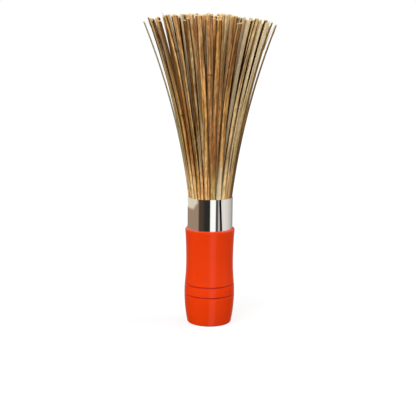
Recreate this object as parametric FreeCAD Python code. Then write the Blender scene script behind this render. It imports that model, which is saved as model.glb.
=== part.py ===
"""Bamboo wok brush: a fan of split bamboo sticks, bound by a steel ferrule and set in a moulded handle.

Millimetres, +Z up. The brush stands on its handle, with the origin at the centre of the flat base.
Every stick is its own solid: rings of flat sticks fill the bore, and spread above the ferrule without
meeting. The sticks of the outer ring, which show, are one node each, and each ring behind them is one node.
"""
import FreeCAD, Part

import math
import os
import random

# Whole brush
brush_height = 300.0

# Ferrule: a drawn steel tube, partly sunk in the handle
ferrule_bore = 21.45
ferrule_sheet = 0.5
ferrule_length = 38.8
ferrule_seat_depth = 8.0
ferrule_edge_chamfer = 0.15
ferrule_clearance = 0.04

# Handle: one moulded cup, whose outside swells past the wall round its socket
handle_height = 94.6
handle_wall = 1.6
waist_height = 62.5
rim_flare = 1.2
lip_round = 1.0
mouth_chamfer = 0.25
shoulder_swell = 1.2
belly_swell = 1.6
belly_height = 31.0
base_taper = 2.8
base_edge_round = 2.0
floor_thickness = 3.0
floor_taper = 2.1

# Two round-bottomed lines turned into the belly
lower_line_height = 29.2
upper_line_height = 39.3
line_width = 1.6
line_depth = 0.9

# Sticks: flat splints with their broad faces on rings round the axis
stick_width = 3.9
stick_width_spread = 0.32
stick_thickness = 1.85
stick_gap = 0.05
bundle_clearance = 0.05
butt_clearance = 0.05
core_stick_side = 1.5

# Fan: how the sticks spread above the ferrule
fan_runs = 5
fan_spread = 43.5
fan_early_share = 0.47
inner_share = 0.62
tip_drop = 3.6
trim_spread = 5.5
trim_evenness = 3.5
low_side_drop = 2.5
low_side_start = 12
low_side_run = 18
stray_reach = 3.5
short_sticks = {12: 4.5, 21: 5.0, 26: 4.0, 27: 3.0}
far_strays = {12: 2.0}
wander = 0.92
seed = 21

# Places and radii that follow from the sizes above
socket_radius = ferrule_bore
ferrule_radius = ferrule_bore + ferrule_sheet
ferrule_foot = handle_height - ferrule_seat_depth
ferrule_top = ferrule_foot + ferrule_length
waist_radius = socket_radius + handle_wall
rim_radius = waist_radius + rim_flare
shoulder_radius = waist_radius + shoulder_swell
belly_radius = waist_radius + belly_swell
base_radius = belly_radius - base_taper
floor_radius = base_radius - floor_taper
bundle_radius = ferrule_bore - bundle_clearance
widest_stick = stick_width * (1 + stick_width_spread)
fan_height = brush_height - ferrule_top
full_circle = 2 * math.pi


def point(radius, height):
    """A point of a turned outline, in the XZ plane."""
    return FreeCAD.Vector(radius, 0, height)


def line(start, end):
    return Part.LineSegment(start, end).toShape()


def arc(start, middle, end):
    return Part.Arc(start, middle, end).toShape()


def rounded_corner(start, corner, end):
    """The quarter round that takes the place of a square corner."""
    share = 1 - math.sqrt(0.5)
    middle = corner + (start - corner) * share + (end - corner) * share
    return arc(start, middle, end)


def turned(edges):
    """The solid that a closed outline in the XZ plane makes about the Z axis."""
    outline = Part.Face(Part.Wire(Part.sortEdges(edges)[0]))
    return outline.revolve(FreeCAD.Vector(0, 0, 0), FreeCAD.Vector(0, 0, 1), 360)


class Sweep:
    """A long shallow arc of the handle's side: upright at one end, and leaning where it reaches the other."""

    def __init__(self, upright_radius, upright_height, far_radius, far_height):
        self.radius = upright_radius
        self.height = upright_height
        run = far_height - upright_height
        rise = far_radius - upright_radius
        self.bend = (run * run + rise * rise) / (2 * rise)

    def at(self, height):
        """Outline radius at a height."""
        run = height - self.height
        return self.radius + self.bend - math.copysign(math.sqrt(self.bend**2 - run**2), self.bend)

    def height_below(self, radius):
        """Height under the upright end at which the outline has a radius."""
        rise = radius - self.radius
        return self.height - math.sqrt(2 * self.bend * rise - rise * rise)

    def edge(self, low, high):
        """The arc between two heights."""
        middle = (low + high) / 2
        return arc(point(self.at(low), low), point(self.at(middle), middle), point(self.at(high), high))


def belly_sweep():
    """The lower side of the handle, from the belly's widest place in to the base's rounded edge."""
    return Sweep(belly_radius, belly_height, base_radius, base_edge_round)


def socket_shoulder_height():
    """Height at which the belly has come out far enough to leave the full wall round the socket."""
    return belly_sweep().height_below(socket_radius + handle_wall)


def turned_line(height, radius_below, radius_above):
    """The round bottom of a line turned into the belly, between its two edges."""
    low = point(radius_below, height - line_width / 2)
    deep = point((radius_below + radius_above) / 2 - line_depth, height)
    high = point(radius_above, height + line_width / 2)
    return arc(low, deep, high)


def handle_outside():
    """The handle's outline from the axis at the base, up its side and over the lip."""
    base_edge = base_radius - base_edge_round
    belly_end = lower_line_height - line_width / 2
    band_start = lower_line_height + line_width / 2
    band_end = upper_line_height - line_width / 2
    waist_start = upper_line_height + line_width / 2
    lip_start = handle_height - lip_round
    belly = belly_sweep()
    below_waist = Sweep(waist_radius, waist_height, shoulder_radius, waist_start)
    above_waist = Sweep(waist_radius, waist_height, rim_radius, lip_start)
    band_top_radius = (belly_radius + shoulder_radius) / 2
    return [
        line(point(0, 0), point(base_edge, 0)),
        rounded_corner(point(base_edge, 0), point(base_radius, 0), point(base_radius, base_edge_round)),
        belly.edge(base_edge_round, belly_end),
        turned_line(lower_line_height, belly.at(belly_end), belly_radius),
        line(point(belly_radius, band_start), point(band_top_radius, band_end)),
        turned_line(upper_line_height, band_top_radius, shoulder_radius),
        below_waist.edge(waist_start, waist_height),
        above_waist.edge(waist_height, lip_start),
        rounded_corner(
            point(rim_radius, lip_start),
            point(rim_radius, handle_height),
            point(rim_radius - lip_round, handle_height),
        ),
    ]


def handle_inside():
    """The handle's outline from the lip into the mouth, down the socket and in to the axis."""
    mouth = ferrule_radius + ferrule_clearance
    chamfer_foot = handle_height - mouth_chamfer
    shoulder = socket_shoulder_height()
    return [
        line(point(rim_radius - lip_round, handle_height), point(mouth + mouth_chamfer, handle_height)),
        line(point(mouth + mouth_chamfer, handle_height), point(mouth, chamfer_foot)),
        line(point(mouth, chamfer_foot), point(mouth, ferrule_foot)),
        line(point(mouth, ferrule_foot), point(socket_radius, ferrule_foot)),
        line(point(socket_radius, ferrule_foot), point(socket_radius, shoulder)),
        line(point(socket_radius, shoulder), point(floor_radius, floor_thickness)),
        line(point(floor_radius, floor_thickness), point(0, floor_thickness)),
        line(point(0, floor_thickness), point(0, 0)),
    ]


def make_handle():
    """One moulded cup. A step in its mouth carries the ferrule, and the socket below takes the sticks."""
    return turned(handle_outside() + handle_inside())


def make_ferrule():
    """A short tube whose outer edges are broken. Its foot stands on the step in the handle's mouth."""
    low = ferrule_foot + ferrule_edge_chamfer
    high = ferrule_top - ferrule_edge_chamfer
    rim = ferrule_radius - ferrule_edge_chamfer
    corners = [
        point(ferrule_bore, ferrule_foot),
        point(rim, ferrule_foot),
        point(ferrule_radius, low),
        point(ferrule_radius, high),
        point(rim, ferrule_top),
        point(ferrule_bore, ferrule_top),
    ]
    return turned([line(start, end) for start, end in zip(corners, corners[1:] + corners[:1])])


def ring_faces():
    """Distance from the axis to the inner face of the sticks in each ring, from the outer ring inwards.

    A ring's widest stick has its outer corners on the circle that the ring outside it leaves.
    """
    least = core_stick_side / math.sqrt(2) + stick_gap
    faces = []
    outer = bundle_radius
    while outer > widest_stick / 2:
        face = math.sqrt(outer * outer - widest_stick * widest_stick / 4) - stick_thickness
        if face < least:
            break
        faces.append(face)
        outer = face - stick_gap
    return faces


def ring_sticks(face, chance):
    """Direction and width of each stick in a ring: uneven shares of the circle, each filled by one stick."""
    mean_share = 2 * math.atan((stick_width + stick_gap) / 2 / face)
    count = max(3, int(full_circle / mean_share))
    uneven = [chance.uniform(-stick_width_spread, stick_width_spread) for _ in range(count)]
    drift = sum(uneven) / count
    shares = [full_circle / count * (1 + part - drift) for part in uneven]
    direction = chance.uniform(0, full_circle)
    sticks = []
    for share in shares:
        room = 2 * face * math.tan(min(share, full_circle / 3) / 2) - stick_gap
        sticks.append((direction + share / 2, min(widest_stick, room)))
        direction += share
    return sticks


def butt_height(outer_corner):
    """Height at which a stick stops in the socket: on the floor, or on the slope round the floor's edge."""
    slope = (socket_shoulder_height() - floor_thickness) / (socket_radius - floor_radius)
    return floor_thickness + butt_clearance + slope * max(0.0, outer_corner - floor_radius)


def spread(height):
    """How far an outer stick has moved out from the bundle, at a height above the ferrule."""
    part = height / fan_height
    return fan_spread * (fan_early_share * part + (1 - fan_early_share) * part * part)


def section(centre, along, width, height):
    """A stick's level outline: a rectangle with its broad side square to the direction given."""
    out = FreeCAD.Vector(math.cos(along), math.sin(along), 0) * (stick_thickness / 2)
    side = FreeCAD.Vector(-math.sin(along), math.cos(along), 0) * (width / 2)
    middle = centre + FreeCAD.Vector(0, 0, height)
    corners = [middle + out + side, middle - out + side, middle - out - side, middle + out - side]
    return Part.makePolygon(corners + corners[:1])


def make_stick(along, face, width, reach, cut, chance):
    """One splint: upright in the socket and ferrule, then curving outwards to its trimmed tip.

    Above the ferrule the room round each stick grows with the fan, and the stick stays within its own, so no
    two can meet. reach is how much further a stray at the fan's edge leans out. Most tips are nearly level,
    a few were trimmed lower, as were all on the fan's low side, and cut is how much shorter still one is.
    """
    outwards = FreeCAD.Vector(math.cos(along), math.sin(along), 0)
    sideways = FreeCAD.Vector(-math.sin(along), math.cos(along), 0)
    distance = face + stick_thickness / 2
    edge_distance = bundle_radius - stick_thickness / 2
    depth = (distance / edge_distance) ** 2
    share = inner_share + (1 - inner_share) * depth
    roam_out = chance.uniform(-wander, wander) * stick_thickness / 2
    roam_side = chance.uniform(-wander, wander) * width / 2
    trim = trim_spread * chance.uniform(0, 1) ** trim_evenness

    def centre(height):
        growth = share * spread(height) / edge_distance
        lean = growth * (distance + roam_out) + reach * spread(height) / fan_spread
        return outwards * (distance + lean) + sideways * (growth * roam_side)

    low_side = min(1, max(0, (centre(fan_height).x - low_side_start) / low_side_run))
    tip_height = fan_height - tip_drop * depth - trim - cut - low_side_drop * low_side
    run = fan_height / fan_runs
    last = run * (fan_runs - 1)
    part = (tip_height - last) / run
    tip = centre(last) * (1 - part) + centre(fan_height) * part
    outer_corner = math.hypot(face + stick_thickness, width / 2)
    sections = [section(centre(0), along, width, butt_height(outer_corner))]
    for step in range(fan_runs):
        sections.append(section(centre(run * step), along, width, ferrule_top + run * step))
    sections.append(section(tip, along, width, ferrule_top + tip_height))
    return Part.makeLoft(sections, True, True)


def make_outer_sticks(face, chance):
    """The ring that shows, one solid for each stick. Some stray out past the rest, a few are cut short."""
    sticks = []
    for number, (along, width) in enumerate(ring_sticks(face, chance), 1):
        reach = stray_reach * max(0.0, chance.uniform(-1, 1)) + far_strays.get(number, 0.0)
        sticks.append(make_stick(along, face, width, reach, short_sticks.get(number, 0.0), chance))
    return sticks


def make_inner_ring(face, chance):
    """One ring of sticks behind the outer ones, as a group of separate solids."""
    return Part.makeCompound(
        [make_stick(along, face, width, 0.0, 0.0, chance) for along, width in ring_sticks(face, chance)]
    )


def make_core_stick():
    """The square splint driven into the middle of the bundle. It stands the full height of the brush."""
    half = core_stick_side / 2
    foot = butt_height(half * math.sqrt(2))
    corners = [(-half, -half), (half, -half), (half, half), (-half, half), (-half, -half)]
    outline = Part.makePolygon([FreeCAD.Vector(x, y, foot) for x, y in corners])
    return Part.Face(outline).extrude(FreeCAD.Vector(0, 0, brush_height - foot))


def make_brush():
    chance = random.Random(seed)
    faces = ring_faces()
    pieces = {"handle": make_handle(), "ferrule": make_ferrule()}
    for number, stick in enumerate(make_outer_sticks(faces[0], chance), 1):
        pieces[f"outer_stick_{number:02d}"] = stick
    for number, face in enumerate(faces[1:], 2):
        pieces[f"sticks_ring_{number}"] = make_inner_ring(face, chance)
    pieces["core_stick"] = make_core_stick()
    return pieces


def main():
    os.makedirs("parts", exist_ok=True)
    for name, shape in make_brush().items():
        shape.exportStep(f"parts/{name}.step")
        print(name, len(shape.Solids), "solids", round(shape.Volume, 1), "mm3", shape.isValid())


main()
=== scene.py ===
"""Looks of a bamboo wok brush, dressed round its fixed solids, in metres and in their frame.

The handle and the ferrule are surfaces of revolution with softened edges. Each splint is a rounded section
carried along its own curve, which is read from the solid that it stands for.
"""

import math
from typing import NamedTuple

import bpy
import numpy as np
from bpy.props import FloatProperty, FloatVectorProperty, IntProperty, PointerProperty
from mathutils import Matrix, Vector


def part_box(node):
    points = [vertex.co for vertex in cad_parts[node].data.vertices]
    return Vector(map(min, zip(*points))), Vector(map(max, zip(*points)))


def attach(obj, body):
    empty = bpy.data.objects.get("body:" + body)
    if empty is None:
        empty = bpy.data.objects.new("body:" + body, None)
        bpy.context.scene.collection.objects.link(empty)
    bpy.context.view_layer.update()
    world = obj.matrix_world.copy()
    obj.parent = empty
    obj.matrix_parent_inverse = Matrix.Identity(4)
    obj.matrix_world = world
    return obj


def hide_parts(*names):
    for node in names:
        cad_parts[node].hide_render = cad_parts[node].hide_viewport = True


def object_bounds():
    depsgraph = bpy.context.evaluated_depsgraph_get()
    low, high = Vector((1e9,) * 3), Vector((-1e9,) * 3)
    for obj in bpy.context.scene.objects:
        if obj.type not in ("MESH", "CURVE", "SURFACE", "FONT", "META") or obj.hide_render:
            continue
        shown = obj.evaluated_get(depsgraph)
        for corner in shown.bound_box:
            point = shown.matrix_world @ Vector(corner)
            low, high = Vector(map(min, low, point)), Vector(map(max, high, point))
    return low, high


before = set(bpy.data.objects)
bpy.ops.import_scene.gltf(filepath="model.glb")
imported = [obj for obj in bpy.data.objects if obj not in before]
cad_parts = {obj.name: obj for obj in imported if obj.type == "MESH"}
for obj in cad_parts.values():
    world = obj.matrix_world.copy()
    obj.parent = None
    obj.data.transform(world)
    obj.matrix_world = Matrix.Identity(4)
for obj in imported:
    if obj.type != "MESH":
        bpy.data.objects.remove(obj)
solid_low, solid_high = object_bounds()

bl_info = {
    "name": "Bamboo wok brush",
    "version": (1, 0, 0),
    "blender": (4, 5, 0),
    "location": "View3D > Sidebar > Brush",
    "description": "Dresses the solids of a bamboo wok brush and sets up a plain studio",
    "category": "Add Mesh",
}

MM = 0.001

handle_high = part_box("handle")[1]
ferrule_low, ferrule_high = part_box("ferrule")
fan_height = solid_high.z - ferrule_high.z


def linear(code):
    """A colour written as an sRGB hex value, as the linear red, green and blue that shaders work in.

    A channel c becomes c / 12.92 on the straight foot of the sRGB curve, and ((c + 0.055) / 1.055) ** 2.4
    above it.
    """
    channel = np.array([int(code[at : at + 2], 16) for at in (1, 3, 5)]) / 255
    curved = ((channel + 0.055) / 1.055) ** 2.4
    return tuple(np.where(channel <= 0.04045, channel / 12.92, curved).tolist())


def length(name, description, metres):
    """A size that a user may change, in metres."""
    return FloatProperty(name=name, description=description, default=metres, unit="LENGTH", precision=5)


def colour(name, description, code):
    """A colour that a user may change, from its sRGB hex value."""
    return FloatVectorProperty(
        name=name, description=description, default=linear(code), subtype="COLOR", min=0, max=1
    )


def factor(name, description, value):
    """A plain number that a user may change."""
    return FloatProperty(name=name, description=description, default=value)


def degrees(name, description, value):
    """An angle that a user may change, from degrees."""
    return FloatProperty(name=name, description=description, default=math.radians(value), subtype="ANGLE")


def whole(name, description, value):
    """A whole number that a user may change."""
    return IntProperty(name=name, description=description, default=value)


class HandleSettings(bpy.types.PropertyGroup):
    """Outline and colour of the moulded handle."""

    plastic: colour("Plastic", "Colour of the moulded polypropylene", "#E63A01")
    # painted shade at the bottom of the turned lines
    line_painted_shade: colour("Line shade", "Deeper colour at the bottom of the turned lines", "#B81A00")
    height: length("Height", "Base to rim", handle_high.z)
    belly_radius: length("Belly radius", "Widest place, below the two lines", handle_high.x)
    belly_height: length("Belly height", "Height of the widest place", 31.0 * MM)
    base_radius: length("Base radius", "Where the belly meets the rounded base edge", 21.85 * MM)
    base_round: length("Base edge", "Radius of the rounded edge round the base", 2.0 * MM)
    waist_radius: length("Waist radius", "Narrowest place, where the hand closes", 23.05 * MM)
    waist_height: length("Waist height", "Height of the narrowest place", 62.5 * MM)
    shoulder_radius: length("Shoulder radius", "Just above the upper line", 24.25 * MM)
    rim_radius: length("Rim radius", "Outside of the flared rim", 24.25 * MM)
    lip_round: length("Lip", "Radius of the rounded lip", 1.0 * MM)
    lower_line: length("Lower line", "Height of the lower turned line", 29.2 * MM)
    upper_line: length("Upper line", "Height of the upper turned line", 39.3 * MM)
    line_width: length("Line width", "Width of a turned line", 1.6 * MM)
    line_depth: length("Line depth", "Depth of a turned line", 0.9 * MM)
    socket_radius: length("Socket radius", "Bore that the splints stand in", 21.45 * MM)
    socket_shoulder: length("Socket shoulder", "Height at which the bore starts to close in", 9.03 * MM)
    floor_radius: length("Floor radius", "Radius of the socket's floor", 19.75 * MM)
    floor_height: length("Floor", "Thickness of the floor under the splints", 3.0 * MM)
    ferrule_clearance: length("Ferrule clearance", "Room round the ferrule in the mouth", 0.04 * MM)
    edge_softness: length("Edge softness", "Length over which moulded edges are rounded", 0.3 * MM)
    sides: whole("Sides", "Facets round the handle", 168)


class FerruleSettings(bpy.types.PropertyGroup):
    """Section and colour of the steel ferrule."""

    steel: colour("Steel", "Reflected colour of polished stainless steel", "#E6E4E0")
    sheet: length("Sheet", "Thickness of the tube's wall", 0.5 * MM)
    edge_round: length("Edge", "Radius of the deburred edges", 0.16 * MM)
    sides: whole("Sides", "Facets round the ferrule", 192)


class SplintSettings(bpy.types.PropertyGroup):
    """Shape and colours of the split bamboo sticks."""

    cream: colour("Cream", "Split faces of the palest splints", "#F4DFB6")
    pith: colour("Pith", "Pale streaks along the splints", "#E4C997")
    pale: colour("Pale", "Freshly split straw-coloured bamboo", "#DDBA82")
    straw: colour("Straw", "Most of the splints", "#C89C60")
    amber: colour("Amber", "Warm tan splints", "#BF8B56")
    russet: colour("Russet", "Orange-brown splints", "#88562B")
    tan: colour("Tan", "Older, browner splints", "#AA793D")
    olive: colour("Olive", "Splints with the green skin left on", "#96783C")
    umber: colour("Umber", "The darkest splints", "#5F3A0C")
    grey: colour("Grey", "Weathered splints", "#A39A7A")
    scar: colour("Scar", "Dark line where a leaf sheath grew at a joint of the cane", "#3A1E02")
    end_grain: colour("End grain", "Cut ends of the splints", "#EAD6A8")
    early_share: factor(
        "Early share", "Share of the spread that is even with height; the rest grows as its square", 0.47
    )
    crown: length("Crown", "Bulge of the outer face, left from the round cane", 0.12 * MM)
    squareness: factor("Squareness", "Power of the rounded rectangle that is a splint's section", 5.0)
    ripple: length("Ripple", "Unevenness of the split faces", 0.09 * MM)
    wave: length("Wave", "Sideways bow of a splint near its tip", 1.8 * MM)
    twist: degrees("Twist", "Most that a splint turns about its own length", 24)
    thinning: factor(
        "Thinning", "Share of its thickness that an outer splint loses from the ferrule to its tip", 0.4
    )
    # dark flanks are a painted shade between the splints
    flanks_in_painted_shade: factor("Dark flanks", "Share of the split flanks that are dark; the rest are pale", 0.8)
    joint_share: factor("Joints", "Share of the splints that show a joint of the cane", 0.12)
    joint_bulge: length("Joint bulge", "How far a joint of the cane stands out", 0.4 * MM)
    joint_reach: length("Joint reach", "Length over which a joint swells", 2.2 * MM)
    edge_break: length("Cut edge", "Broken edge round a cut end", 0.22 * MM)
    fray: length("Fray", "Length over which a cut end is pale and ragged", 1.5 * MM)
    seed: whole("Seed", "Start of the random draws", 5)


class FibreSettings(bpy.types.PropertyGroup):
    """Number and size of the loose fibres."""

    number: whole("Fibres", "How many loose fibres stand off the splints", 46)
    width: length("Width", "Thickness of a loose fibre where it leaves its splint", 0.5 * MM)
    longest: length("Longest", "Length of the longest scattered fibres", 24 * MM)
    seed: whole("Seed", "Start of the random draws", 5)


class StageSettings(bpy.types.PropertyGroup):
    """Camera, lamps and backdrop."""

    camera_distance: length("Camera distance", "Level distance from the brush's axis", 0.88)
    camera_height: length("Camera height", "Height above the surface", 0.264)
    camera_pitch: degrees("Camera pitch", "Downward tilt", 9.67)
    camera_roll: degrees("Camera roll", "Lean to the left", 0.6)
    camera_yaw: degrees("Camera yaw", "Turn to the left", 0.24)
    lens: factor("Lens", "Focal length in millimetres", 79.1)
    paper: colour("Paper", "Plain white floor, as the camera sees it", "#FFFFFF")
    table: colour("Table", "Floor as it throws light back on the brush", "#8E8E8C")
    glow: factor("Glow", "Share of the floor's white that no shadow reaches", 0.75)
    floor: length("Floor", "From the brush to the floor's edges", 8.0)
    fill: factor("Fill", "Strength of the even light from all round", 0.64)
    key: factor("Key", "Strength of the broad lamp at the upper left front", 2.2)
    side: factor("Side", "Strength of the lamp at the right", 1.15)
    card_radius: length("Card radius", "Distance of the studio's cards from the axis", 0.4)
    card_level: length("Card level", "Height at which a leaning card stands at its stated angles", 0.035)
    card_strength: factor("Card strength", "Brightness of the studio's cards", 1.25)
    card_steps: whole("Card steps", "Strips round the ring of cards", 720)


def rounded_corner(start, corner, end, count=10):
    """Quarter round in place of a square corner: centre + (start - centre) cos a + (end - centre) sin a."""
    start, corner, end = (np.array(p, float) for p in (start, corner, end))
    centre = start + end - corner
    angle = np.linspace(0, math.pi / 2, count)[:, None]
    return centre + (start - centre) * np.cos(angle) + (end - centre) * np.sin(angle)


def leaning_arc(upright, far, low, high, count=40):
    """Shallow arc that stands upright at one point and passes through another, between two heights.

    With bend b its radius at height z is r + b - sign(b) sqrt(b^2 - (z - z0)^2).
    """
    run, rise = far[1] - upright[1], far[0] - upright[0]
    bend = (run * run + rise * rise) / (2 * rise)
    height = np.linspace(low, high, count)
    radius = upright[0] + bend - np.sign(bend) * np.sqrt(bend**2 - (height - upright[1]) ** 2)
    return np.stack([radius, height], axis=1)


def turned_line(height, radius_below, radius_above, width, depth, count=15):
    """Half an ellipse cut into the outline: chord - depth sin a, height - (width / 2) cos a."""
    angle = np.linspace(0, math.pi, count)
    chord = np.linspace(radius_below, radius_above, count)
    return np.stack([chord - depth * np.sin(angle), height - width / 2 * np.cos(angle)], axis=1)


def handle_outline(size):
    """The handle's section as (radius, height): along its base, up its side, over its lip, down inside."""
    half = size.line_width / 2
    belly = (size.belly_radius, size.belly_height)
    waist = (size.waist_radius, size.waist_height)
    waist_start = size.upper_line + half
    lip_start = size.height - size.lip_round
    foot = (size.base_radius, size.base_round)
    below_line = leaning_arc(belly, foot, size.base_round, size.lower_line - half)
    line = (size.line_width, size.line_depth)
    band_top = (size.belly_radius + size.shoulder_radius) / 2
    mouth = ferrule_high.x + size.ferrule_clearance
    return np.concatenate(
        [
            [(0, 0)],
            rounded_corner((size.base_radius - size.base_round, 0), (size.base_radius, 0), foot),
            below_line,
            turned_line(size.lower_line, below_line[-1, 0], size.belly_radius, *line),
            turned_line(size.upper_line, band_top, size.shoulder_radius, *line),
            leaning_arc(waist, (size.shoulder_radius, waist_start), waist_start, size.waist_height),
            leaning_arc(waist, (size.rim_radius, lip_start), size.waist_height, lip_start),
            rounded_corner(
                (size.rim_radius, lip_start),
                (size.rim_radius, size.height),
                (size.rim_radius - size.lip_round, size.height),
            ),
            [
                (mouth, size.height),
                (mouth, ferrule_low.z),
                (size.socket_radius, ferrule_low.z),
                (size.socket_radius, size.socket_shoulder),
                (size.floor_radius, size.floor_height),
                (0, size.floor_height),
            ],
        ]
    )


def walk(outline):
    """Distance walked along an outline to each of its points."""
    return np.concatenate([[0], np.cumsum(np.hypot(*np.diff(outline, axis=0).T))])


def soften(outline, reach, step=0.03 * MM):
    """The outline drawn evenly and averaged over a short reach, weighted by a raised cosine."""
    distance = walk(outline)
    even = np.linspace(0, distance[-1], int(distance[-1] / step))
    half = int(reach / step / 2)
    weight = np.hanning(2 * half + 3)[1:-1]
    dense = np.stack([np.interp(even, distance, outline[:, axis]) for axis in (0, 1)])
    dense = np.pad(dense, ((0, 0), (half, half)), mode="edge")
    return np.stack([np.convolve(line, weight / weight.sum(), "valid") for line in dense], axis=1)


def share_out(outline, stride=4 * MM, turn=math.radians(9)):
    """The outline with fewer points, set by how far it runs and, at its bends, by how far it turns."""
    leg = np.diff(outline, axis=0)
    heading = np.unwrap(np.arctan2(leg[:, 1], leg[:, 0]))
    cost = np.hypot(*leg.T) / stride + np.abs(np.gradient(heading)) / turn
    spent = np.concatenate([[0], np.cumsum(cost)])
    spots = np.linspace(0, spent[-1], math.ceil(spent[-1]) + 1)
    return np.stack([np.interp(spots, spent, outline[:, axis]) for axis in (0, 1)], axis=1)


def turned_surface(outline, sides):
    """Grid of a surface of revolution: (r, z) at angle a is (r cos a, r sin a, z)."""
    angle = np.arange(sides) * 2 * math.pi / sides
    radius, height = outline[:, :1], outline[:, 1:]
    return np.stack([radius * np.cos(angle), radius * np.sin(angle), height + 0 * angle], axis=-1)[None]


def tube_faces(rows, columns, ring):
    """Corner numbers of one tube's quads, and of the triangles that close its ends.

    Row j meets column k at corner j * columns + k. The columns close on themselves. On a ring the rows do
    so too, and on any other tube each end has a pole, which is numbered after the grid.
    """
    row, column = np.meshgrid(np.arange(rows if ring else rows - 1), np.arange(columns), indexing="ij")
    above, beside = (row + 1) % rows, (column + 1) % columns
    quads = np.stack([row * columns + column, row * columns + beside, above * columns + beside], axis=-1)
    quads = np.concatenate([quads, (above * columns + column)[..., None]], axis=-1).reshape(-1, 4)
    if ring:
        return quads, np.empty((0, 3), int)
    around = np.arange(columns)
    following = (around + 1) % columns
    first_pole, last_row = rows * columns, (rows - 1) * columns
    foot = np.stack([np.full(columns, first_pole), following, around], axis=1)
    tip = np.stack([last_row + around, last_row + following, np.full(columns, first_pole + 1)], axis=1)
    return quads, np.concatenate([foot, tip])


def placed(name, data):
    """A new object with this data, in the scene."""
    new = bpy.data.objects.new(name, data)
    bpy.context.scene.collection.objects.link(new)
    return new


ATTRIBUTE_KINDS = {1: ("FLOAT", "value"), 3: ("FLOAT_VECTOR", "vector"), 4: ("FLOAT_COLOR", "color")}


def tube_piece(name, grid, material, ring=False, marks=None):
    """A piece made of closed tubes, from a grid (tube, row, column, xyz).

    marks are the values of its attributes, on the same grid or on one that numpy can stretch over it.
    """
    tubes, rows, columns, _ = grid.shape

    def corners(values):
        values = np.broadcast_to(values, (tubes, rows, columns, values.shape[-1]))
        flat = values.reshape(tubes, rows * columns, -1)
        if not ring:
            poles = np.stack([values[:, 0].mean(axis=1), values[:, -1].mean(axis=1)], axis=1)
            flat = np.concatenate([flat, poles.reshape(tubes, 2, -1)], axis=1)
        return flat.reshape(-1, flat.shape[-1])

    quads, caps = tube_faces(rows, columns, ring)
    points = corners(grid)
    start = (np.arange(tubes) * (len(points) // tubes))[:, None, None]
    quads, caps = ((faces[None] + start).reshape(-1, faces.shape[1]) for faces in (quads, caps))
    mesh = bpy.data.meshes.new(name)
    mesh.from_pydata(points.tolist(), [], quads.tolist() + caps.tolist())
    mesh.polygons.foreach_set("use_smooth", np.arange(len(quads) + len(caps)) < len(quads))
    for mark, values in (marks or {}).items():
        kind, field = ATTRIBUTE_KINDS[values.shape[-1]]
        mesh.attributes.new(mark, kind, "POINT").data.foreach_set(field, corners(values).ravel())
    mesh.materials.append(material)
    mesh.validate()
    return placed(name, mesh)


def read_splints(node):
    """The splints of a solid node, as arrays with one row for each splint.

    The node's triangles are joined at shared corners, and each splint is a set of corners that hang
    together. Its lowest four corners give its section, and its rings of corners give its path.
    """
    digits = 6
    grain = 10.0**-digits
    count = len(node.data.vertices)
    flat = np.empty(count * 3)
    node.data.vertices.foreach_get("co", flat)
    faces = np.empty(len(node.data.polygons) * 3, int)
    node.data.polygons.foreach_get("vertices", faces)
    keys, owner = np.unique(np.round(flat.reshape(-1, 3) / grain).astype(int), axis=0, return_inverse=True)
    faces = owner.reshape(-1)[faces].reshape(-1, 3)
    label, previous = np.arange(len(keys)), None
    while previous is None or (label != previous).any():
        previous = label.copy()
        np.minimum.at(label, faces, label[faces].min(axis=1)[:, None])
    points = keys * grain
    found = []
    for name in np.unique(label):
        own = points[label == name]
        heights = np.unique(np.round(own[:, 2], digits))
        rings = [own[np.abs(own[:, 2] - height) < 2 * grain] for height in heights]
        foot = rings[0][:, :2]
        middle = foot.mean(axis=0)
        along = math.atan2(middle[1], middle[0]) if np.hypot(*middle) > MM else 0.0
        out = np.array([math.cos(along), math.sin(along)])
        side = np.array([-out[1], out[0]])
        high = rings[-2 if len(rings) > 2 else -1]
        share = (high[0, 2] - ferrule_high.z) / fan_height
        found.append(
            (
                along,
                np.ptp(foot @ side),
                np.ptp(foot @ out),
                *middle,
                *(high[:, :2].mean(axis=0) - middle),
                share,
                heights[0],
                heights[-1],
            )
        )
    names = ("along", "width", "thickness", "x", "y", "lean_x", "lean_y", "lean_share", "foot", "tip")
    return dict(zip(names, np.array(found).T))


# Rows of a splint's grid: even steps up the fan, and steps of a joint's reach above and below a joint
FAN_ROWS = 26
JOINT_ROWS = (-1.6, -0.6, 0.0, 0.6, 1.6)
# How far below the ferrule's rim a splint has its first bend
HIDDEN_ROW = 2 * MM
# Points round its section, and rows of its cut end
SECTION_POINTS = 20
END_ROWS = 2

# What is drawn for each splint lies between two values: waves of its bow along its length, its share of the
# bow, waves of its uneven width and of the ripple of its faces, how square it is beside the rest, and the
# slope of its cut end
BOW_WAVES = (0.5, 1.4)
BOW_SHARE = (0.2, 1)
WIDTH_WAVES = (1, 3)
RIPPLE_WAVES = (0.5, 2)
SQUARENESS = (0.8, 1.5)
CUT_SLOPE = (-0.3, 0.3)

# Share of its width by which a splint is uneven, and the share of the fan's height where that is in full
UNEVEN_WIDTH = 0.025
UNEVEN_FROM = 0.125
# Share by which a joint of the cane widens a splint, and the length of its scar beside the joint's reach
JOINT_WIDENING = 0.04
SCAR_REACH = 0.35
# Shares of the ripple that stay the same and that change along a splint
RIPPLE_STEADY, RIPPLE_MOVING = 0.6, 0.4
# Share of the way out from a splint's middle where its outer face starts
OUTER_FACE = 0.3
# Share of the broken edge that a cut end is drawn in by
END_INSET = 0.7

# Shares of the half width over which a face passes to its flank
FLANK_BLEND = (0.66, 0.94)
# How strongly flanks show at the fan's foot, and the shares of its height over which that grows to full
FLANK_AT_FOOT = 0.6
FLANK_RISE = (0.02, 0.3)
# Shares of the fan's height over which a splint's colour passes from its foot's to its middle's, and then
# to its tip's
LOWER_BLEND = (0.06, 0.26)
UPPER_BLEND = (0.5, 0.8)


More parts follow.
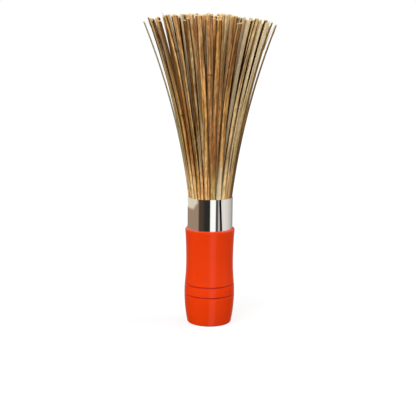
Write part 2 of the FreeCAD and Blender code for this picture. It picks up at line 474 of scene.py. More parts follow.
def splint_heights(splints, joint, settings):
    """Heights of each splint's rows: its foot, even steps up the fan, and more at its joint and tip."""
    tip = splints["tip"][:, None]
    even = ferrule_high.z + (tip - ferrule_high.z) * np.linspace(0, 1, FAN_ROWS, endpoint=False)
    near_joint = joint[:, None] + settings.joint_reach * np.array(JOINT_ROWS)
    start = np.stack([splints["foot"], np.full_like(joint, ferrule_high.z - HIDDEN_ROW)], axis=1)
    end = tip - np.array([settings.fray, settings.edge_break, 0])
    return np.sort(np.concatenate([start, even, near_joint, end], axis=1), axis=1)


def spread_curve(share, early_share):
    """How far a splint has gone to its full lean, at a share of the fan's height: e s + (1 - e) s^2."""
    share = np.clip(share, 0, None)
    return early_share * share + (1 - early_share) * share**2


def ease(value, low, high):
    """Smooth step from 0 at one value to 1 at another: t^2 (3 - 2 t)."""
    t = np.clip((value - low) / (high - low), 0, 1)
    return t * t * (3 - 2 * t)


def splint_paths(splints, z, early_share):
    """Middles of splints at heights, as points (splint, height, xyz): place + lean * curve(share)."""
    reach = spread_curve((z - ferrule_high.z) / fan_height, early_share)
    lean_at = spread_curve(splints["lean_share"], early_share)[:, None]
    x = splints["x"][:, None] + splints["lean_x"][:, None] / lean_at * reach
    y = splints["y"][:, None] + splints["lean_y"][:, None] / lean_at * reach
    return np.stack([x, y, z], axis=-1)


def wave(share, waves, start):
    """A sine up the fan, with so many waves in the fan's height, from a start between 0 and 1."""
    return np.sin(2 * math.pi * (share * waves + start))


def splint_grids(splints, tints, flank_tones_and_shade, thinning, bend, joint, has_joint, settings, chance):
    """Grids of points, and their marks, of a group of splints.

    A section is the rounded rectangle |x / a|^p + |y / b|^p = 1, crowned on its outer side, and its
    thickness shrinks as 1 - thinning * share. It is carried up place + lean * curve(share), bowed by a
    sine, bent aside by bend * curve(share), and turned about its middle by a twist that grows with height.
    """
    count = len(splints["tip"])

    def draw(low, high, *shape):
        return chance.uniform(low, high, (count, *(shape or (1,))))

    z = splint_heights(splints, joint, settings)
    share = np.clip((z - ferrule_high.z) / fan_height, 0, None)
    bow = settings.wave * share * wave(share, draw(*BOW_WAVES), draw(0, 1)) * draw(*BOW_SHARE)
    bow = bow + bend[:, None] * spread_curve(share, settings.early_share)
    out = np.stack([np.cos(splints["along"]), np.sin(splints["along"])], axis=-1)
    side = np.stack([-out[:, 1], out[:, 0]], axis=-1)
    middle = splint_paths(splints, z, settings.early_share)[..., :2] + side[:, None] * bow[..., None]

    swell = has_joint[:, None] * np.exp(-(((z - joint[:, None]) / settings.joint_reach) ** 2))
    uneven = UNEVEN_WIDTH * wave(share, draw(*WIDTH_WAVES), draw(0, 1)) * np.minimum(1, share / UNEVEN_FROM)
    half_width = splints["width"][:, None] / 2 * (1 + uneven) * (1 + JOINT_WIDENING * swell)
    half_thick = splints["thickness"][:, None] / 2 * (1 - thinning * share)
    half_width[:, -1] -= settings.edge_break * END_INSET
    half_thick[:, -1] -= settings.edge_break * END_INSET

    angle = np.arange(SECTION_POINTS) * 2 * math.pi / SECTION_POINTS
    power = 2 / (settings.squareness * draw(*SQUARENESS))
    round_out = np.sign(np.cos(angle)) * np.abs(np.cos(angle)) ** power
    round_side = np.sign(np.sin(angle)) * np.abs(np.sin(angle)) ** power
    ripple = settings.ripple * draw(-1, 1, SECTION_POINTS)[:, None]
    moving = RIPPLE_STEADY + RIPPLE_MOVING * wave(share, draw(*RIPPLE_WAVES), draw(0, 1))
    ripple = ripple * moving[..., None]
    outer = (round_out > OUTER_FACE)[:, None]
    x = half_thick[..., None] * round_out[:, None] + ripple * np.sign(round_out)[:, None]
    x += outer * (settings.crown * (1 - round_side[:, None] ** 2) + settings.joint_bulge * swell[..., None])
    y = half_width[..., None] * round_side[:, None]

    turn = (settings.twist * draw(-1, 1) * share)[..., None]
    across = x * np.cos(turn) - y * np.sin(turn)
    beside = x * np.sin(turn) + y * np.cos(turn)
    at_end = (np.arange(z.shape[1]) >= z.shape[1] - END_ROWS)[None, :, None] * 1.0
    height = z[..., None] + at_end * draw(*CUT_SLOPE)[..., None] * y
    level = middle[:, :, None] + across[..., None] * out[:, None, None]
    level = level + beside[..., None] * side[:, None, None]
    grid = np.concatenate([level, height[..., None]], axis=-1)

    scar = has_joint[:, None] * np.exp(-(((z - joint[:, None]) / (SCAR_REACH * settings.joint_reach)) ** 2))
    part = share[..., None, None]
    lower = tints[:, 0, None, None] + (tints[:, 1] - tints[:, 0])[:, None, None] * ease(part, *LOWER_BLEND)
    flank = ease(np.abs(round_side), *FLANK_BLEND)[:, None, :, None]
    on_left = (round_side > 0)[:, None, :, None]
    marks = {
        "fibre": np.stack([y + draw(0, 1, 1, 1), x, z[..., None] + 0 * x], axis=-1),
        "tint": lower + (tints[:, 2, None, None] - lower) * ease(part, *UPPER_BLEND),
        "skin": (round_out[:, None, :, None] + 1) / 2,
        "edge": flank * (FLANK_AT_FOOT + (1 - FLANK_AT_FOOT) * ease(part, *FLANK_RISE)),
        # each flank's colour: pale split wood, or a painted shade between the splints
        "rim": np.where(on_left, flank_tones_and_shade[:, None, None, 0], flank_tones_and_shade[:, None, None, 1]),
        "scar": scar[..., None, None],
        "cut": at_end[..., None],
    }
    return grid, marks


# Rows and sides of a loose fibre, and how blunt its end is beside its start
FIBRE_ROWS = 9
FIBRE_SIDES = 6
FIBRE_END = 0.05


def fibre_grid(splints, start, edge, peel, run, width, early_share):
    """Grid of fibres that peel off the splints' edges.

    A fibre follows its splint's edge from a start height, and leaves it by peel * t^2 sideways, where t
    runs from 0 to 1. Its section is a circle that narrows as 1 + end - t^2.
    """
    step = np.linspace(0, 1, FIBRE_ROWS)
    path = splint_paths(splints, start[:, None] + run[:, None] * step, early_share)
    side = np.stack([-np.sin(splints["along"]), np.cos(splints["along"])], axis=-1)
    off = edge[:, None] * (splints["width"][:, None] / 2 + peel[:, None] * step**2)
    path[..., :2] += side[:, None] * off[..., None]
    angle = np.arange(FIBRE_SIDES) * 2 * math.pi / FIBRE_SIDES
    ring = np.stack([np.cos(angle), np.sin(angle), 0 * angle], axis=-1)
    radius = width / 2 * (1 + FIBRE_END - step**2)
    return path[:, :, None] + radius[None, :, None, None] * ring[None, None]


def add(tree, kind, settings=None, inputs=None):
    """Adds a shader node to a tree, with its settings, and the values or links of its inputs."""
    node = tree.nodes.new("ShaderNode" + kind)
    for key, value in (settings or {}).items():
        setattr(node, key, value)
    for key, value in (inputs or {}).items():
        if isinstance(value, bpy.types.NodeSocket):
            tree.links.new(value, node.inputs[key])
        else:
            node.inputs[key].default_value = value
    return node


def new_material(name):
    """An empty material and its node tree."""
    material = bpy.data.materials.new(name)
    material.use_nodes = True
    material.node_tree.nodes.clear()
    return material, material.node_tree


def finish_material(tree, shader):
    """Joins a shader to its material's output."""
    add(tree, "OutputMaterial", inputs={"Surface": shader.outputs[0]})


def moulded_polypropylene(settings):
    """Polypropylene, injection moulded and self-coloured: a deep even colour under a soft waxy gloss.

    The mould was spark-eroded very finely, so the gloss breaks up a little. Its grain is drawn at 0.35 mm.
    The turned lines are painted in a deeper colour, a painted shade for the light that enters them and is
    reflected more than once.
    """
    material, tree = new_material("moulded_polypropylene")
    place = add(tree, "TexCoord").outputs["Object"]
    grain = add(tree, "TexNoise", inputs={"Vector": place, "Scale": 1 / (0.35 * MM), "Detail": 2.0})
    flow = add(tree, "TexNoise", inputs={"Vector": place, "Scale": 1 / (18 * MM), "Detail": 1.0})
    slow = flow.outputs["Fac"]
    roughness = add(tree, "MapRange", inputs={"Value": slow, "To Min": 0.2, "To Max": 0.28})
    tone = add(tree, "MapRange", inputs={"Value": slow, "To Min": 0.95, "To Max": 1.05})
    relief = {"Height": grain.outputs["Fac"], "Strength": 0.35, "Distance": 0.02 * MM}
    bump = add(tree, "Bump", inputs=relief)
    toned = {0: 1.0, 6: (*settings.plastic, 1), 7: tone.outputs[0]}
    plastic = add(tree, "Mix", {"data_type": "RGBA", "blend_type": "MULTIPLY"}, toned)
    # The line mark lays the line shade over the plastic: a painted shade in the turned lines.
    line = add(tree, "Attribute", {"attribute_name": "line"})
    painted_line_shade_inputs = {0: line.outputs["Fac"], 6: plastic.outputs[2], 7: (*settings.line_painted_shade, 1)}
    painted_line_shade = add(tree, "Mix", {"data_type": "RGBA"}, painted_line_shade_inputs)
    finish = {
        "Base Color": painted_line_shade.outputs[2],
        "Roughness": roughness.outputs[0],
        "IOR": 1.49,
        "Specular IOR Level": 0.28,
        "Normal": bump.outputs[0],
    }
    finish_material(tree, add(tree, "BsdfPrincipled", inputs=finish))
    return material


def polished_stainless_steel(settings):
    """Stainless steel tube, drawn and buffed: a near mirror that is drawn out a little round the tube.

    The buffing marks run round the ferrule for 25 mm, 0.08 mm apart and too faint to see one by one.
    """
    material, tree = new_material("polished_stainless_steel")
    place = add(tree, "TexCoord").outputs["Object"]
    scale = (1 / (25 * MM), 1 / (25 * MM), 1 / (0.08 * MM))
    rings = add(tree, "Mapping", inputs={"Vector": place, "Scale": scale})
    marks = add(tree, "TexNoise", inputs={"Vector": rings.outputs[0], "Scale": 1.0, "Detail": 2.0})
    handling = add(tree, "TexNoise", inputs={"Vector": place, "Scale": 1 / (7 * MM), "Detail": 3.0})
    smears = {"Value": handling.outputs["Fac"], "To Min": 0.02, "To Max": 0.06}
    roughness = add(tree, "MapRange", inputs=smears)
    relief = {"Height": marks.outputs["Fac"], "Strength": 0.12, "Distance": 0.003 * MM}
    bump = add(tree, "Bump", inputs=relief)
    finish = {
        "Base Color": (*settings.steel, 1),
        "Metallic": 1.0,
        "Roughness": roughness.outputs[0],
        "Normal": bump.outputs[0],
    }
    finish_material(tree, add(tree, "BsdfPrincipled", inputs=finish))
    return material


class Streaks(NamedTuple):
    """A pattern of streaks along a splint: how far apart they are, how far they run, and their detail."""

    spacing: float
    run: float
    detail: float


STREAKS = {
    "fine": Streaks(0.3 * MM, 30 * MM, 3.0),
    "bands": Streaks(1.1 * MM, 70 * MM, 2.0),
    "broad": Streaks(2.5 * MM, 45 * MM, 1.0),
    "flecks": Streaks(0.22 * MM, 6 * MM, 1.0),
    "mottle": Streaks(1.5 * MM, 5 * MM, 2.0),
    "cracks": Streaks(1.7 * MM, 60 * MM, 1.0),
}


class Layer(NamedTuple):
    """A layer over the wood's colour. A pattern's values from start to full become an amount, low to high.

    The amount multiplies the colour below, or is how strongly the colour of a cover lies over it.
    """

    pattern: str
    start: float
    full: float
    low: float
    high: float
    cover: str = ""


# Layers of the faces, and of the joints and cut ends
WOOD_LAYERS = (
    Layer("fine", 0.3, 0.7, 0.7, 1.3),
    Layer("bands", 0.34, 0.47, 0.35, 1.12),
    Layer("bands", 0.52, 0.64, 0.0, 0.6, "pith"),
    Layer("broad", 0.52, 0.72, 0.0, 0.4, "olive"),
    Layer("cracks", 0.54, 0.6, 0.0, 0.85, "umber"),
    Layer("flecks", 0.58, 0.68, 0.0, 0.75, "umber"),
    Layer("mottle", 0.32, 0.68, 0.66, 1.35),
)
END_LAYERS = (
    Layer("blotched scar", 0.15, 0.5, 0.0, 0.9, "scar"),
    Layer("ragged cut", 0.85, 1.3, 0.0, 0.85, "end_grain"),
)


def layered(tree, below, layers, patterns, settings):
    """The socket of a colour with layers laid over it, one after another."""
    for layer in layers:
        reach = {"From Min": layer.start, "From Max": layer.full, "To Min": layer.low, "To Max": layer.high}
        amount = add(tree, "MapRange", inputs={"Value": patterns[layer.pattern], **reach}).outputs[0]
        if layer.cover:
            cover = (*getattr(settings, layer.cover), 1)
            mix = add(tree, "Mix", {"data_type": "RGBA"}, {0: amount, 6: below, 7: cover})
        else:
            multiply = {"data_type": "RGBA", "blend_type": "MULTIPLY"}
            mix = add(tree, "Mix", multiply, {0: 1.0, 6: below, 7: amount})
        below = mix.outputs[2]
    return below


def split_bamboo(settings):
    """Moso bamboo, split and dried raw: straw fibres along the length, with dark and pale bundles between.

    Fibre bundles are 0.3 mm apart and run for 30 mm, and bands of them, dark or pale as pith, are 1.1 mm
    apart. Fine cracks are 1.7 mm and olive patches 2.5 mm apart, and dark flecks are 6 mm long. The
    tint's alpha says how strongly all these show. The skin side is denser and a little glossier than the
    pith side. The split flanks have the rim's colour: pale split wood, or on most splints a painted shade,
    dark as the gaps between the splints; the rim's alpha says how dark the skin's line along them is. A
    joint of the cane is a dark blotched line, and the cut ends are pale and ragged.
    """
    material, tree = new_material("split_bamboo")
    marks = {
        name: add(tree, "Attribute", {"attribute_name": name}).outputs
        for name in ("fibre", "tint", "skin", "edge", "rim", "scar", "cut")
    }
    patterns = {}
    for name, streaks in STREAKS.items():
        scale = (1 / streaks.spacing, 1 / streaks.spacing, 1 / streaks.run)
        along = add(tree, "Mapping", inputs={"Vector": marks["fibre"]["Vector"], "Scale": scale})
        drawn = {"Vector": along.outputs[0], "Scale": 1.0, "Detail": streaks.detail}
        patterns[name] = add(tree, "TexNoise", inputs=drawn).outputs["Fac"]
    blotched = {0: marks["scar"]["Fac"], 1: patterns["mottle"]}
    patterns["blotched scar"] = add(tree, "Math", {"operation": "MULTIPLY"}, blotched).outputs[0]
    ragged = {0: marks["cut"]["Fac"], 1: patterns["fine"]}
    patterns["ragged cut"] = add(tree, "Math", {"operation": "ADD"}, ragged).outputs[0]

    tint = marks["tint"]["Color"]
    streaked = layered(tree, tint, WOOD_LAYERS, patterns, settings)
    face = add(tree, "Mix", {"data_type": "RGBA"}, {0: marks["tint"]["Alpha"], 6: tint, 7: streaked})
    skin = marks["skin"]["Fac"]
    outside = {"Value": skin, "From Min": 0.55, "From Max": 0.8, "To Max": 0.9}
    skin_side = add(tree, "MapRange", inputs=outside)
    dark_line = {0: skin_side.outputs[0], 1: marks["rim"]["Alpha"]}
    skin_line = add(tree, "Math", {"operation": "MULTIPLY"}, dark_line)
    split = {0: skin_line.outputs[0], 6: marks["rim"]["Color"], 7: (*settings.scar, 1)}
    flank = add(tree, "Mix", {"data_type": "RGBA"}, split)
    # The flanks lie over the faces; most are a painted shade between the splints.
    sides = {0: marks["edge"]["Fac"], 6: face.outputs[2], 7: flank.outputs[2]}
    whole = add(tree, "Mix", {"data_type": "RGBA"}, sides)
    roughness = add(tree, "MapRange", inputs={"Value": skin, "To Min": 0.68, "To Max": 0.46})
    relief = {"Height": patterns["fine"], "Strength": 0.7, "Distance": 0.05 * MM}
    bump = add(tree, "Bump", inputs=relief)
    finish = {
        "Base Color": layered(tree, whole.outputs[2], END_LAYERS, patterns, settings),
        "Roughness": roughness.outputs[0],
        "IOR": 1.47,
        "Specular IOR Level": 0.1,
        "Normal": bump.outputs[0],
    }
    finish_material(tree, add(tree, "BsdfPrincipled", inputs=finish))
    return material


def dress(piece, slot, *nodes):
    """Seats a piece in the frame: it rides on the one body, and stands for its solids."""
    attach(piece, "root")
    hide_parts(*nodes)


class BRUSH_OT_handle(bpy.types.Operator):
    """Makes the moulded handle"""

    bl_idname = "wok_brush.handle"
    bl_label = "Handle"

    def execute(self, context):
        settings = context.scene.brush_handle
        outline = share_out(soften(handle_outline(settings), settings.edge_softness))[1:-1]
        grid = turned_surface(outline, settings.sides)
        half = settings.line_width / 2
        # The line mark is a painted shade, deepest at the middle of each turned line, on the outside only.
        off = np.abs(outline[:, 1:] - [settings.lower_line, settings.upper_line]).min(axis=1) / half
        outside = outline[:, 0] > settings.waist_radius
        depth = np.where(outside, np.sqrt(np.clip(1 - off**2, 0, 1)), 0)
        marks = {"line": depth[None, :, None, None]}
        piece = tube_piece("moulded_handle", grid, moulded_polypropylene(settings), marks=marks)
        dress(piece, "handle_plastic", "handle")
        return {"FINISHED"}


# Points round each broken edge of the ferrule, and up its side between two edges
EDGE_POINTS = 5
SIDE_POINTS = 8


class BRUSH_OT_ferrule(bpy.types.Operator):
    """Makes the steel ferrule"""

    bl_idname = "wok_brush.ferrule"
    bl_label = "Ferrule"

    def execute(self, context):
        settings = context.scene.brush_ferrule
        outer, bore = ferrule_high.x, ferrule_high.x - settings.sheet
        low, high, edge = ferrule_low.z, ferrule_high.z, settings.edge_round
        up = np.linspace(low + edge, high - edge, SIDE_POINTS + 2)[1:-1]
        outline = np.concatenate(
            [
                rounded_corner((outer - edge, low), (outer, low), (outer, low + edge), EDGE_POINTS),
                np.stack([np.full(SIDE_POINTS, outer), up], axis=1),
                rounded_corner((outer, high - edge), (outer, high), (outer - edge, high), EDGE_POINTS),
                rounded_corner((bore + edge, high), (bore, high), (bore, high - edge), EDGE_POINTS),
                rounded_corner((bore, low + edge), (bore, low), (bore + edge, low), EDGE_POINTS),
            ]
        )
        grid = turned_surface(outline, settings.sides)
        piece = tube_piece("steel_ferrule", grid, polished_stainless_steel(settings), ring=True)
        dress(piece, "ferrule_steel", "ferrule")
        return {"FINISHED"}


# Share of each colour among the splints, on the brush's left and on its right
TINT_SHARES = {
    "cream": (0.0, 0.22),
    "pale": (0.12, 0.28),
    "straw": (0.3, 0.24),
    "amber": (0.1, 0.08),
    "tan": (0.26, 0.1),
    "olive": (0.12, 0.04),
    "umber": (0.1, 0.04),
}

# The same for the splints inside the outer ring, paler as painted light against the fan's own shade
INNER_SHARES = {
    "cream": (0.02, 0.15),
    "pale": (0.3, 0.35),
    "straw": (0.35, 0.25),
    "amber": (0.15, 0.1),
    "tan": (0.15, 0.05),
    "olive": (0.0, 0.0),
    "umber": (0.0, 0.0),
}

# The outer splints that face the front, from left to right: their colours at foot, middle and tip
FRONT_TINTS = {
    12: ("straw", "grey", "grey"),
    13: ("straw", "olive", "pale"),
    14: ("pale", "olive", "pale"),
    15: ("pale", "tan", "umber"),
    16: ("straw", "russet", "straw"),
    17: ("tan", "straw", "tan"),
    18: ("amber", "umber", "umber"),
    19: ("amber", "tan", "amber"),
    20: ("olive", "russet", "tan"),
    21: ("cream", "tan", "russet"),
    22: ("pale", "pale", "pale"),
    23: ("tan", "straw", "cream"),
    24: ("tan", "olive", "cream"),
    25: ("olive", "umber", "olive"),
    26: ("umber", "umber", "umber"),
    27: ("olive", "umber", "olive"),
}

# Outer splints that show their flanks: the flank's colour, and how dark the skin shows along its edge;
# umber and scar flanks are painted shade between the splints
FLANKS = {
    12: ("grey", 0.5),
    13: ("olive", 0.3),
    14: ("umber", 0.0),
    15: ("umber", 0.0),
    16: ("umber", 0.0),
    18: ("scar", 0.0),
    20: ("umber", 0.0),
    23: ("cream", 0.0),
    24: ("cream", 0.0),
    25: ("olive", 0.6),
    26: ("pale", 1.0),
}

# Splints inside the outer ring that show between the front ones, by the direction that they stand in, in
# degrees from the brush's right: their colours at foot, middle and tip
NEAR_TINTS = {
    "sticks_ring_2": {
        -147: ("tan", "tan", "umber"),
        -120: ("umber", "umber", "umber"),
        -106: ("amber", "pale", "amber"),
        -92: ("amber", "amber", "amber"),
        -78: ("cream", "amber", "pale"),
        -55: ("cream", "cream", "cream"),
        -30: ("pale", "pale", "cream"),
    },
    "sticks_ring_3": {
        -146: ("pale", "cream", "straw"),
        -131: ("pale", "cream", "cream"),
        -63: ("cream", "pale", "amber"),
        -47: ("cream", "cream", "cream"),
    },
    "sticks_ring_4": {-103: ("amber", "pale", "pale"), -89: ("amber", "pale", "amber")},
    "sticks_ring_6": {-49: ("cream", "cream", "pale")},
}

# How bright the flanks of these are beside their faces, darker as a painted shade between the splints
NEAR_FLANK = 0.6

# How far the tips of two of these bend aside, into the widest gap at the front
BENDS = {"sticks_ring_2": {-78: 4.3 * MM}, "sticks_ring_3": {-63: -2.5 * MM}}

# How strongly streaks show on the palest splints; on the others they show in full
STREAK_SHARES = {"cream": 0.35, "grey": 0.8, "pale": 0.8, "amber": 0.85, "tan": 0.9}

# A splint that shows a joint of the cane at the front, and the joint's height
FRONT_JOINT = {15: 205.5 * MM}

# Shares of the fan's height between which the joints of the others lie
JOINT_PLACES = (0.12, 0.85)

# The light that the fan's own shade takes is given back to the colours, as a number that multiplies them.
# For an outer splint it is drawn between two values, and for an inner one it is this and the inner gain
# multiplied. Those that face the front, and the inner ones that show, have a gain of their own. No channel
# goes past the brightest value.
GAINS = (1.1, 1.5)
FRONT_GAIN = 1.5
INNER_GAIN = 1.4
NEAR_GAIN = 1.8
BRIGHTEST = 0.92

# Fibres that stand clear of the tips at both sides of the front: splint, counted from 0, its edge, length,
# peel, and the share of the length below the splint's tip
LONG_FIBRES = (
    (15, -1.0, 10 * MM, 3.5 * MM, 0.55),
    (12, -1.0, 34 * MM, 16.0 * MM, 0.99),
    (12, -1.0, 24 * MM, 8.0 * MM, 0.96),
    (13, -1.0, 28 * MM, 11.0 * MM, 0.98),
    (14, -1.0, 16 * MM, 4.0 * MM, 0.9),
    (23, 1.0, 22 * MM, 6.0 * MM, 0.96),
    (24, 1.0, 26 * MM, 10.0 * MM, 0.97),
    (25, 1.0, 30 * MM, 14.0 * MM, 0.99),
)

# What is drawn for the other fibres lies between two values: their length beside the longest, and how far
# they peel off beside their length
FIBRE_LENGTHS = (0.25, 1)
FIBRE_PEELS = (0.05, 0.25)
# Share of their length below the splint's tip, and the share of the fan's height that they are spread over
FIBRE_BELOW_TIP = 0.85
FIBRE_SPREAD = 0.6
# How strongly streaks show on the long fibres
LONG_FIBRE_STREAKS = 0.5


def shades(settings, names):
    """The tints of these names: their colours, each with how strongly streaks show on it."""
    return np.array([(*getattr(settings, name), STREAK_SHARES.get(name, 1.0)) for name in names])


def facing(splints, direction):
    """Which of the splints stands nearest to a direction, in degrees from the brush's right."""
    return np.abs(np.degrees(splints["along"]) - direction).argmin()


class BRUSH_OT_splints(bpy.types.Operator):
    """Makes the splints, one piece for each of their solid nodes"""

    bl_idname = "wok_brush.splints"
    bl_label = "Splints"

    def execute(self, context):
        settings = context.scene.brush_splints
        material = split_bamboo(settings)
        palette = shades(settings, TINT_SHARES)
        nodes = sorted(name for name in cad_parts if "stick" in name)
        for number, node in enumerate(nodes):
            chance = np.random.default_rng((settings.seed, number))
            splints = read_splints(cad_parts[node])
            count = len(splints["tip"])
            outer = int(node[-2:]) if node.startswith("outer") else None
            # Inner splints draw from paler shares, as painted light against the fan's own shade
            left, right = np.array(list((TINT_SHARES if outer else INNER_SHARES).values())).T
            rightness = (1 + np.cos(splints["along"])[:, None]) / 2
            ladder = np.cumsum(left + (right - left) * rightness**2, axis=1)
            picked = (chance.uniform(0, 1, (count, 1)) * ladder[:, -1:] > ladder).sum(axis=1)
            tints = np.repeat(palette[picked][:, None], 3, axis=1)
            joint = ferrule_high.z + fan_height * chance.uniform(*JOINT_PLACES, count)
            has_joint = (chance.uniform(0, 1, count) < settings.joint_share).astype(float)
            # The gain brightens the colours as painted light, given back for the fan's own shade
            gain = chance.uniform(*GAINS, (count, 1, 1)) * (1.0 if outer else INNER_GAIN)
            if outer in FRONT_TINTS:
                tints[:], gain[:] = shades(settings, FRONT_TINTS[outer]), FRONT_GAIN
            if outer in FRONT_JOINT:
                joint[:], has_joint[:] = FRONT_JOINT[outer], 1
            near = {facing(splints, angle): names for angle, names in NEAR_TINTS.get(node, {}).items()}
            for which, names in near.items():
                tints[which], gain[which] = shades(settings, names), NEAR_GAIN
            tints[..., :3] *= gain
            tints[..., :3] /= np.maximum(1, tints[..., :3].max(axis=-1, keepdims=True) / BRIGHTEST)
            # Most flanks take the scar's colour, a painted shade between the splints; the rest are pale
            # split wood
            dark = chance.uniform(0, 1, (count, 2, 1)) < settings.flanks_in_painted_shade
            flank_tones_and_shade = np.where(dark, (*settings.scar, 0), (*settings.pale, 0))
            for which in near:
                flank_tones_and_shade[which] = (*tints[which, 1, :3] * NEAR_FLANK, 0)
            if outer in FLANKS:
                code, skin_line = FLANKS[outer]
                flank_tones_and_shade[:] = (*getattr(settings, code), skin_line)
            bend = np.zeros(count)
            for angle, aside in BENDS.get(node, {}).items():
                bend[facing(splints, angle)] = aside
            thinning = settings.thinning if outer else 0
            looks = (tints, flank_tones_and_shade, thinning, bend, joint, has_joint)
            grid, marks = splint_grids(splints, *looks, settings, chance)
            piece = tube_piece(node.replace("stick", "splint"), grid, material, marks=marks)
            dress(piece, "bamboo", node)
        return {"FINISHED"}


class BRUSH_OT_fibres(bpy.types.Operator):
    """Makes the loose fibres along the splints"""

    bl_idname = "wok_brush.fibres"
    bl_label = "Loose fibres"

    def execute(self, context):
        settings, wood = context.scene.brush_fibres, context.scene.brush_splints
        chance = np.random.default_rng(settings.seed)
        names = sorted(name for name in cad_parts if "outer_stick" in name)
        nodes = [read_splints(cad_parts[name]) for name in names]
        outer = {key: np.concatenate([splints[key] for splints in nodes]) for key in nodes[0]}
        count = settings.number
        picked = chance.integers(0, len(nodes), count)
        run = settings.longest * chance.uniform(*FIBRE_LENGTHS, count)
        below = chance.uniform(0, 1, count) ** 2 * FIBRE_SPREAD * fan_height
        edge = chance.choice([-1.0, 1.0], count)
        peel = run * chance.uniform(*FIBRE_PEELS, count)
        start = outer["tip"][picked] - run * FIBRE_BELOW_TIP - below
        for number, (splint, side, size, off, below_tip) in enumerate(LONG_FIBRES):
            picked[number], edge[number], run[number], peel[number] = splint, side, size, off
            start[number] = outer["tip"][splint] - size * below_tip
        splints = {key: values[picked] for key, values in outer.items()}
        grid = fibre_grid(splints, start, edge, peel, run, settings.width, wood.early_share)
        tints = np.array([(*wood.straw, 1)] * count)
        tints[: len(LONG_FIBRES)] = (*wood.olive, LONG_FIBRE_STREAKS)
        tints = tints[:, None, None]
        marks = {"fibre": grid[..., [2, 2, 2]], "tint": tints, "rim": tints}
        piece = tube_piece("loose_fibres", grid, bpy.data.materials["split_bamboo"], marks=marks)
        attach(piece, "root")
        return {"FINISHED"}


def backdrop_material(settings):
    """Matt white studio surface. Seen straight, it is white apart from the brush's soft shadow."""
    material, tree = new_material("white_studio_paper")
    path = add(tree, "LightPath")
    lit = add(tree, "BsdfDiffuse", inputs={"Color": (*settings.paper, 1)})
    white = add(tree, "Emission", inputs={"Color": (1, 1, 1, 1), "Strength": 1.0})
    seen = add(tree, "MixShader", inputs={0: settings.glow, 1: lit.outputs[0], 2: white.outputs[0]})
    table = add(tree, "BsdfDiffuse", inputs={"Color": (*settings.table, 1)})
    both = {0: path.outputs["Is Camera Ray"], 1: table.outputs[0], 2: seen.outputs[0]}
    finish_material(tree, add(tree, "MixShader", inputs=both))
    return material


class Card(NamedTuple):
    """A card of the studio as gloss sees it, on a ring round the brush.

    Its sides are angles in degrees, from 0 at the camera to plus at the camera's right. Each side fades
    over its own softness, and both lean by degrees for each millimetre above the card level.
    """

    code: str
    left: float
    right: float
    left_soft: float = 2
    right_soft: float = 2
    lean: float = 0
    foot: float = 0.008


GROUND = "#1C1814"
CARDS = (
    # the pale table behind the brush, low down
    Card("#8E8C88", 136, 240, 40, 2, foot=-1.0),
    Card("#8E8C88", -240, -136, 2, 40, foot=-1.0),
    # the room all round
    Card("#75716C", -300, 300),
    # wooden wall at the left, with a white reflector above its foot
    Card("#9A8371", -156, -60, 8, 7),
    Card("#5C4A44", -204, -154, 2, 6),
    Card("#DAD0C0", -260, -126, 2, 16, lean=2.4, foot=0.0485),
    # the dark side of the room, where the camera stands
    Card("#4A3D31", -58, -20, 8, 16),
    Card("#2B2C2A", -32, 1, 20, 4),
    # tall strip light with its stand, a grey card and a black flag at its right
    Card("#FFFFFF", 1, 28, 5, 2, foot=-1.0),
    Card("#525250", 28, 40, 2, 2),
    Card("#B7B6B3", 41, 50, 2, 2),
    # white wall at the right, with the flag in front of it
    Card("#DEDAD6", 55, 125, 2, 110),
    Card("#060605", 50, 61.5, 2, 2, lean=-0.19),
)

# Heights of the ring's rows: its foot, even steps in the band that the ferrule mirrors, and its top
RING_FOOT = -0.6
RING_BAND = (-0.04, 0.12)
BAND_ROWS = 81
RING_TOP = 1.5
# Height over which a card fades at its foot, and how far from the card level it leans, in millimetres
FOOT_SOFT = 2 * MM
LEAN_REACH = 25


def studio_ring(settings):
    """An upright ring round the brush that shows the cards, (R sin a, -R cos a, z), to glossy rays alone.

    A card's strength is the product of the smooth steps at its two sides and at its foot, and each card is
    laid over the ones before it by its strength.
    """
    angle = np.linspace(-180, 180, settings.card_steps + 1)[None, :, None]
    height = np.concatenate([[RING_FOOT], np.linspace(*RING_BAND, BAND_ROWS), [RING_TOP]])[:, None, None]
    above = np.clip((height - settings.card_level) / MM, -LEAN_REACH, LEAN_REACH)
    tone = np.tile(linear(GROUND), (*np.broadcast_shapes(angle.shape, height.shape)[:2], 1))
    for card in CARDS:
        upright = angle - card.lean * above
        left, right = card.left_soft / 2, card.right_soft / 2
        strength = ease(upright, card.left - left, card.left + left)
        strength = strength * ease(-upright, -card.right - right, right - card.right)
        strength = strength * ease(height, card.foot, card.foot + FOOT_SOFT)
        tone += (np.array(linear(card.code)) - tone) * strength
    turn, level = np.radians(angle[..., 0]), height[..., 0] / settings.card_radius
    wall = np.stack(np.broadcast_arrays(np.sin(turn), -np.cos(turn), level), axis=-1) * settings.card_radius
    rows, columns = wall.shape[:2]
    corner = np.arange(rows * columns).reshape(rows, columns)
    faces = np.stack([corner[:-1, :-1], corner[1:, :-1], corner[1:, 1:], corner[:-1, 1:]], axis=-1)
    mesh = bpy.data.meshes.new("studio_cards")
    mesh.from_pydata(wall.reshape(-1, 3).tolist(), [], faces.reshape(-1, 4).tolist())
    colours = np.concatenate([tone, np.ones((rows, columns, 1))], axis=-1)
    mesh.attributes.new("tone", "FLOAT_COLOR", "POINT").data.foreach_set("color", colours.ravel())
    material, tree = new_material("studio_cards")
    shown = add(tree, "Attribute", {"attribute_name": "tone"}).outputs["Color"]
    glow = add(tree, "Emission", inputs={"Color": shown, "Strength": settings.card_strength})
    finish_material(tree, glow)
    mesh.materials.append(material)
    cards = placed("studio_cards", mesh)
    cards.visible_camera = False
    cards.visible_diffuse = False
    cards.visible_transmission = False
    cards.visible_shadow = False


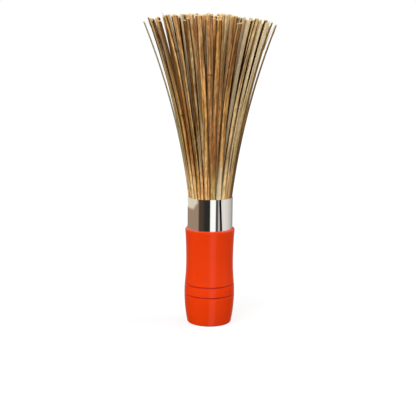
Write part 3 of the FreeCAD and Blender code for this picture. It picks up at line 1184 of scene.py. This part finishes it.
# Directions of the lamps from the brush, and how wide they are in its sky
KEY_LAMP = ((-0.5, -0.85, 0.6), math.radians(50))
SIDE_LAMP = ((0.9, 0.0, 0.6), math.radians(40))


def broad_lamp(name, towards, width, strength):
    """A far lamp in one direction, as wide in the sky as an angle, that lights the whole floor evenly."""
    lamp = bpy.data.lights.new(name, "SUN")
    lamp.angle = width
    lamp.energy = strength
    broad = placed(name, lamp)
    broad.rotation_mode = "QUATERNION"
    broad.rotation_quaternion = Vector(towards).to_track_quat("Z", "Y")


class BRUSH_OT_stage(bpy.types.Operator):
    """Sets up the floor, the lamps, the cards and the camera"""

    bl_idname = "wok_brush.stage"
    bl_label = "Stage"

    def execute(self, context):
        scene = context.scene
        settings = scene.brush_stage
        scene.view_settings.view_transform = "Standard"
        half = settings.floor
        mesh = bpy.data.meshes.new("floor")
        corners = [(-half, -half, 0), (half, -half, 0), (half, half, 0), (-half, half, 0)]
        mesh.from_pydata(corners, [], [(0, 1, 2, 3)])
        mesh.materials.append(backdrop_material(settings))
        floor = placed("floor", mesh)
        floor.visible_glossy = False
        studio_ring(settings)
        self.light(scene, settings)
        camera = placed("camera", bpy.data.cameras.new("camera"))
        camera.data.lens = settings.lens
        camera.location = (0, -settings.camera_distance, settings.camera_height)
        pitch, roll, yaw = settings.camera_pitch, settings.camera_roll, settings.camera_yaw
        camera.rotation_euler = (math.pi / 2 - pitch, -roll, yaw)
        scene.camera = camera
        return {"FINISHED"}

    def light(self, scene, settings):
        """Even light from all round, a broad lamp at the upper left front and a weaker one at the right."""
        broad_lamp("key_lamp", *KEY_LAMP, settings.key)
        broad_lamp("side_lamp", *SIDE_LAMP, settings.side)
        world = bpy.data.worlds.new("studio")
        world.use_nodes = True
        tree = world.node_tree
        tree.nodes.clear()
        path = add(tree, "LightPath")
        fill = add(tree, "Background", inputs={"Color": (1, 1, 1, 1), "Strength": settings.fill})
        white = add(tree, "Background", inputs={"Color": (1, 1, 1, 1), "Strength": 1.0})
        both = {0: path.outputs["Is Camera Ray"], 1: fill.outputs[0], 2: white.outputs[0]}
        mix = add(tree, "MixShader", inputs=both)
        add(tree, "OutputWorld", inputs={"Surface": mix.outputs[0]})
        scene.world = world


class BRUSH_PT_panel(bpy.types.Panel):
    """Lists the brush's sizes, colours and makers"""

    bl_idname = "BRUSH_PT_panel"
    bl_label = "Bamboo wok brush"
    bl_space_type = "VIEW_3D"
    bl_region_type = "UI"
    bl_category = "Brush"

    def draw(self, context):
        for name, _, operator in GROUPS:
            settings = getattr(context.scene, name)
            box = self.layout.box()
            for key in settings.__annotations__:
                box.prop(settings, key)
            box.operator(operator.bl_idname)


GROUPS = (
    ("brush_handle", HandleSettings, BRUSH_OT_handle),
    ("brush_ferrule", FerruleSettings, BRUSH_OT_ferrule),
    ("brush_splints", SplintSettings, BRUSH_OT_splints),
    ("brush_fibres", FibreSettings, BRUSH_OT_fibres),
    ("brush_stage", StageSettings, BRUSH_OT_stage),
)


def register():
    """Registers the settings, operators and panel, and gives the scene its groups of settings."""
    for name, settings, operator in GROUPS:
        bpy.utils.register_class(settings)
        bpy.utils.register_class(operator)
        setattr(bpy.types.Scene, name, PointerProperty(type=settings))
    bpy.utils.register_class(BRUSH_PT_panel)


def unregister():
    """Takes all that register gives away again."""
    bpy.utils.unregister_class(BRUSH_PT_panel)
    for name, settings, operator in reversed(GROUPS):
        delattr(bpy.types.Scene, name)
        bpy.utils.unregister_class(operator)
        bpy.utils.unregister_class(settings)


def main():
    """Dresses the solids and sets the stage."""
    register()
    bpy.ops.wok_brush.stage()
    bpy.ops.wok_brush.handle()
    bpy.ops.wok_brush.ferrule()
    bpy.ops.wok_brush.splints()
    bpy.ops.wok_brush.fibres()
    bpy.context.view_layer.update()


if __name__ == "__main__":
    main()
